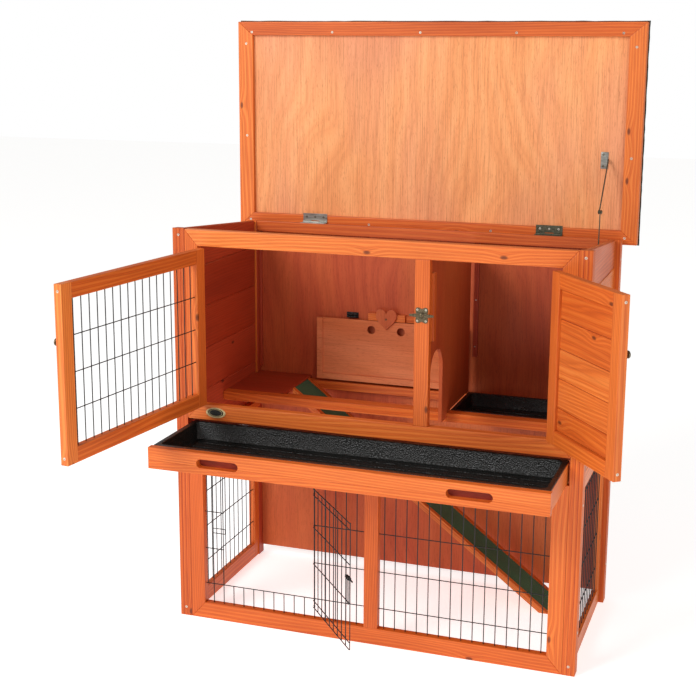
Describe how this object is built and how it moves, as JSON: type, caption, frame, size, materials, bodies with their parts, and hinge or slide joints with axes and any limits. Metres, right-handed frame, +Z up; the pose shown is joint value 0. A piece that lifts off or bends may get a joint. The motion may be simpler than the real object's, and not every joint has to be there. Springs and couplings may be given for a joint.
{
  "type": "rabbit hutch",
  "caption": "Two-storey wooden rabbit hutch with lifting lid, front doors, pull-out tray drawer, ramp and wire run.",
  "frame": {"origin": "middle of the underside of the front bottom rail, on the ground plane", "axes": "+Z up, +X to the right seen from the front, +Y towards the back"},
  "size_m": [1.1239, 1.0178, 1.44],
  "materials": {
    "pine": "orange stained softwood, satin lacquer, growth rings and knots",
    "plywood": "orange stained plywood veneer, thin satin coat",
    "roof_felt": "mineral bitumen roofing felt",
    "ramp_felt": "green felt, matt",
    "black_plastic": "textured black plastic",
    "black_wire": "black coated steel wire",
    "zinc": "zinc plated sheet steel",
    "antique_metal": "antique bronze plating"
  },
  "bodies": {
    "hutch_body": {"front_left_post": "pine", "front_right_post": "pine", "back_left_post": "pine", "back_right_post": "pine", "top_front_rail": "pine", "upper_left_stile": "pine", "upper_right_stile": "pine", "middle_front_rail": "pine", "upper_centre_stile": "pine", "bottom_front_rail": "pine", "lower_left_stile": "pine", "lower_right_stile": "pine", "lower_top_rail": "pine", "lower_centre_stile": "pine", "left_side_boards": "pine", "left_run_frame": "pine", "left_run_mesh": "black_wire", "right_side_boards": "pine", "right_run_frame": "pine", "right_run_mesh": "black_wire", "back_panel": "plywood", "back_top_rail": "pine", "cross_rail": "pine", "rear_ledge_rail": "pine", "hole_ledge": "pine", "floor_board": "plywood", "divider_panel": "plywood", "divider_batten": "pine", "rear_tray": "black_plastic", "left_bay_mesh": "black_wire", "right_bay_mesh": "black_wire", "latch_plate": "antique_metal", "left_lid_hinge_fixed_leaf": "zinc", "right_lid_hinge_fixed_leaf": "zinc", "stay_wall_bracket": "zinc", "ramp_board": "pine", "ramp_felt": "ramp_felt", "flap_cleat": "pine"},
    "lid": {"lid_frame": "pine", "lid_panel": "plywood", "lid_felt": "roof_felt", "left_lid_hinge_moving_leaf": "zinc", "right_lid_hinge_moving_leaf": "zinc", "stay_lid_plate": "zinc"},
    "stay_upper_arm": {"stay_upper_arm": "zinc"},
    "stay_lower_arm": {"stay_lower_arm": "zinc"},
    "left_door": {"left_door_frame": "pine", "left_door_mesh": "black_wire", "left_door_knob": "antique_metal"},
    "right_door": {"right_door_frame": "pine", "right_door_boards": "pine", "right_door_knob": "antique_metal"},
    "latch_wing": {"latch_wing": "antique_metal"},
    "drawer": {"drawer_front": "pine", "drawer_box": "pine", "drawer_tray": "black_plastic"},
    "ramp_flap": {"ramp_flap": "plywood"},
    "heart_button": {"heart_button": "pine"},
    "wire_door": {"wire_door": "black_wire"},
    "wire_door_latch": {"wire_door_latch": "black_wire"}
  },
  "joints": [
    {"name": "lid_hinge", "type": "hinge", "parent": "hutch_body", "child": "lid", "pos_m": [0, 0.4505, 0.92797], "axis": [1, 0, 0], "range_deg": [0, 85.2]},
    {"name": "stay_upper_pivot", "type": "hinge", "parent": "lid", "child": "stay_upper_arm", "pos_m": [0.4432, 0.451, 1.11197], "axis": [1, 0, 0], "range_deg": [0, 23.1]},
    {"name": "stay_lower_pivot", "type": "hinge", "parent": "hutch_body", "child": "stay_lower_arm", "pos_m": [0.4453, 0.34, 0.922], "axis": [1, 0, 0], "range_deg": [0, 237.5]},
    {"name": "left_door_hinge", "type": "hinge", "parent": "hutch_body", "child": "left_door", "pos_m": [-0.4245, -0.016, 0.735], "axis": [0, 0, 1], "range_deg": [-73, 97]},
    {"name": "right_door_hinge", "type": "hinge", "parent": "hutch_body", "child": "right_door", "pos_m": [0.4245, -0.016, 0.735], "axis": [0, 0, 1], "range_deg": [-128, 40]},
    {"name": "latch_turn", "type": "hinge", "parent": "hutch_body", "child": "latch_wing", "pos_m": [0.118, -0.013, 0.8], "axis": [0, 1, 0], "range_deg": [-90, 90]},
    {"name": "drawer_slide", "type": "slide", "parent": "hutch_body", "child": "drawer", "axis": [0, 1, 0], "range_m": [0, 0.209]},
    {"name": "ramp_flap_hinge", "type": "hinge", "parent": "hutch_body", "child": "ramp_flap", "pos_m": [-0.089, 0.428, 0.5203], "axis": [1, 0, 0], "range_deg": [0, 90]},
    {"name": "heart_turn", "type": "hinge", "parent": "hutch_body", "child": "heart_button", "pos_m": [-0.1, 0.4207, 0.6895], "axis": [0, 1, 0], "range_deg": [-180, 180]},
    {"name": "wire_door_hinge", "type": "hinge", "parent": "hutch_body", "child": "wire_door", "pos_m": [-0.1375, -0.006, 0.218], "axis": [0, 0, 1], "range_deg": [-130, 40]},
    {"name": "wire_latch_slide", "type": "slide", "parent": "wire_door", "child": "wire_door_latch", "axis": [0.6428, -0.766, 0], "range_m": [-0.012, 0.02]}
  ],
  "couplings": [
    {"joint": "stay_upper_pivot", "follows": "lid_hinge", "ratio": 0.27061},
    {"joint": "stay_lower_pivot", "follows": "lid_hinge", "ratio": 2.7837}
  ]
}
